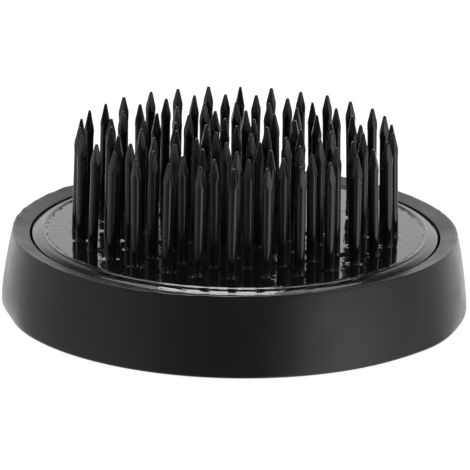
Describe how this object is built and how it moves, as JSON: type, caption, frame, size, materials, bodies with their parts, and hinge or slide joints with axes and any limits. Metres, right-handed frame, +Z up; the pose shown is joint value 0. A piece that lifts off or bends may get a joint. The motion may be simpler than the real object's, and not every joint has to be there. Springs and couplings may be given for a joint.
{
  "type": "flower frog",
  "caption": "Round flower frog: a heavy cast base set with rings of upright pointed wire needles, seated in a lift-off rubber ring.",
  "frame": {"origin": "centre of the rubber ring's underside, which stands on the table or the vase floor", "axes": "+Z up along the centre needle; +Y points away from the viewer, +X to the right"},
  "size_m": [0.0768, 0.0768, 0.03],
  "materials": {
    "rubber": "satin black moulded rubber with a fine grain",
    "casting": "gloss black paint over a cast alloy, slightly rippled",
    "needle": "semi-gloss black paint on steel wire"
  },
  "bodies": {
    "ring": {"rubber_ring": "rubber"},
    "frog": {"cast_base": "casting", "needle_centre": "needle", "needles_ring1_sector1": "needle", "needles_ring1_sector2": "needle", "needles_ring1_sector3": "needle", "needles_ring1_sector4": "needle", "needles_ring1_sector5": "needle", "needles_ring1_sector6": "needle", "needles_ring2_sector1": "needle", "needles_ring2_sector2": "needle", "needles_ring2_sector3": "needle", "needles_ring2_sector4": "needle", "needles_ring2_sector5": "needle", "needles_ring2_sector6": "needle", "needles_ring3_sector1": "needle", "needles_ring3_sector2": "needle", "needles_ring3_sector3": "needle", "needles_ring3_sector4": "needle", "needles_ring3_sector5": "needle", "needles_ring3_sector6": "needle", "needles_ring4_sector1": "needle", "needles_ring4_sector2": "needle", "needles_ring4_sector3": "needle", "needles_ring4_sector4": "needle", "needles_ring4_sector5": "needle", "needles_ring4_sector6": "needle", "needles_ring5_sector1": "needle", "needles_ring5_sector2": "needle", "needles_ring5_sector3": "needle", "needles_ring5_sector4": "needle", "needles_ring5_sector5": "needle", "needles_ring5_sector6": "needle"}
  },
  "joints": [
    {"name": "frog_lift", "type": "slide", "parent": "ring", "child": "frog", "axis": [0, 0, 1], "range_m": [0, 0.025]}
  ]
}
